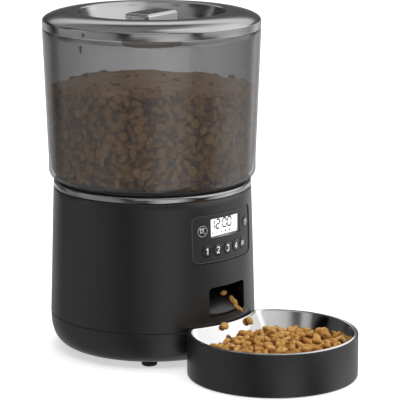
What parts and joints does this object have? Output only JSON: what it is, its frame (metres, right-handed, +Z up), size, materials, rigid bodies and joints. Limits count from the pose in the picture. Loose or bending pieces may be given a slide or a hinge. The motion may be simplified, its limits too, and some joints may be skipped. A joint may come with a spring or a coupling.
{
  "type": "automatic pet feeder",
  "caption": "Timed dry-food feeder: round drum with clear smoke hopper and twist lid, front panel and outlet over a steel bowl in a docking holder.",
  "frame": {"origin": "centre of the bounding box at floor level", "axes": "+Z up; the outlet, panel and bowl face -Y; +X is the right side when looking along +Y"},
  "size_m": [0.1956, 0.3152, 0.3084],
  "materials": {
    "satin_black": "satin black moulded plastic",
    "gloss_black": "gloss black moulded plastic",
    "smoke": "clear smoke-grey moulded plastic",
    "chrome": "bright chrome plating",
    "polished_steel": "polished stainless steel",
    "zinc_steel": "bright zinc-plated steel",
    "white_nylon": "natural white nylon",
    "rubber": "matte black rubber",
    "silicone": "soft grey silicone",
    "display": "backlit white display",
    "board": "green circuit board",
    "cell": "printed cell sleeve",
    "clear": "clear pane",
    "drying_bag": "white non-woven bag"
  },
  "bodies": {
    "drum": {"base_cover": "satin_black", "base_screw_1": "zinc_steel", "base_screw_2": "zinc_steel", "base_screw_3": "zinc_steel", "base_screw_4": "zinc_steel", "battery_bay": "satin_black", "battery_cell_1": "cell", "battery_cell_2": "cell", "battery_cell_3": "cell", "battery_door": "satin_black", "battery_door_screw": "zinc_steel", "control_board": "board", "dispensing_chamber": "satin_black", "display_module": "display", "display_window": "clear", "food_chute": "gloss_black", "foot_1": "rubber", "foot_2": "rubber", "foot_3": "rubber", "foot_4": "rubber", "gear_motor": "zinc_steel", "gear_plate": "zinc_steel", "housing_shell": "satin_black", "idler_pin": "zinc_steel", "panel_fascia": "satin_black", "power_inlet": "gloss_black", "trim_ring": "chrome"},
    "tray": {"bowl_holder": "satin_black", "bowl_pad_1": "rubber", "bowl_pad_2": "rubber", "bowl_pad_3": "rubber"},
    "bowl": {"steel_bowl": "polished_steel"},
    "hopper": {"hopper": "smoke"},
    "lid_collar": {"lid_seal": "silicone"},
    "lid": {"lid": "smoke", "lid_handle": "smoke", "drying_agent_basket": "white_nylon", "drying_agent_pack": "drying_bag"},
    "rotor": {"portion_rotor": "white_nylon", "rotor_shaft": "zinc_steel", "stirrer": "white_nylon", "output_gear": "white_nylon"},
    "idler": {"idler_gear": "white_nylon"},
    "pinion": {"motor_pinion": "white_nylon"},
    "time_button": {"time_button": "gloss_black"},
    "voice_button": {"voice_button": "gloss_black"},
    "ok_button": {"ok_button": "gloss_black"},
    "meal_button_1": {"meal_button_1": "gloss_black"},
    "meal_button_2": {"meal_button_2": "gloss_black"},
    "meal_button_3": {"meal_button_3": "gloss_black"},
    "meal_button_4": {"meal_button_4": "gloss_black"}
  },
  "joints": [
    {"name": "tray_slide", "type": "slide", "parent": "drum", "child": "tray", "axis": [0, -1, 0], "range_m": [0, 0.12]},
    {"name": "bowl_lift", "type": "slide", "parent": "tray", "child": "bowl", "axis": [0, 0, 1], "range_m": [0, 0.08]},
    {"name": "hopper_lift", "type": "slide", "parent": "drum", "child": "hopper", "axis": [0, 0, 1], "range_m": [0, 0.08]},
    {"name": "lid_lift", "type": "slide", "parent": "hopper", "child": "lid_collar", "axis": [0, 0, 1], "range_m": [0, 0.08]},
    {"name": "lid_twist", "type": "hinge", "parent": "lid_collar", "child": "lid", "pos_m": [0, 0.0598, 0.3], "axis": [0, 0, 1], "range_deg": [0, 20]},
    {"name": "rotor_spin", "type": "hinge", "parent": "drum", "child": "rotor", "pos_m": [0, 0.0598, 0.13], "axis": [0, 0, 1], "continuous": true},
    {"name": "idler_spin", "type": "hinge", "parent": "drum", "child": "idler", "pos_m": [0, 0.0918, 0.109], "axis": [0, 0, 1], "continuous": true},
    {"name": "pinion_spin", "type": "hinge", "parent": "drum", "child": "pinion", "pos_m": [0.016, 0.1038, 0.109], "axis": [0, 0, 1], "continuous": true},
    {"name": "meal_press_1", "type": "slide", "parent": "drum", "child": "meal_button_1", "axis": [0.2622, 0.965, 0], "range_m": [0, 0.0009], "stiffness_N_per_m": 400, "springref_m": -0.0004},
    {"name": "meal_press_2", "type": "slide", "parent": "drum", "child": "meal_button_2", "axis": [0.1323, 0.9912, 0], "range_m": [0, 0.0009], "stiffness_N_per_m": 400, "springref_m": -0.0004},
    {"name": "meal_press_3", "type": "slide", "parent": "drum", "child": "meal_button_3", "axis": [0, 1, 0], "range_m": [0, 0.0009], "stiffness_N_per_m": 400, "springref_m": -0.0004},
    {"name": "meal_press_4", "type": "slide", "parent": "drum", "child": "meal_button_4", "axis": [-0.1323, 0.9912, 0], "range_m": [0, 0.0009], "stiffness_N_per_m": 400, "springref_m": -0.0004},
    {"name": "ok_press", "type": "slide", "parent": "drum", "child": "ok_button", "axis": [-0.2622, 0.965, 0], "range_m": [0, 0.0009], "stiffness_N_per_m": 400, "springref_m": -0.0004},
    {"name": "time_press", "type": "slide", "parent": "drum", "child": "time_button", "axis": [0.314, 0.9494, 0], "range_m": [0, 0.0009], "stiffness_N_per_m": 400, "springref_m": -0.0004},
    {"name": "voice_press", "type": "slide", "parent": "drum", "child": "voice_button", "axis": [-0.3338, 0.9426, 0], "range_m": [0, 0.0009], "stiffness_N_per_m": 400, "springref_m": -0.0004}
  ],
  "couplings": [
    {"joint": "idler_spin", "follows": "rotor_spin", "ratio": -1.2857},
    {"joint": "pinion_spin", "follows": "rotor_spin", "ratio": 3}
  ]
}
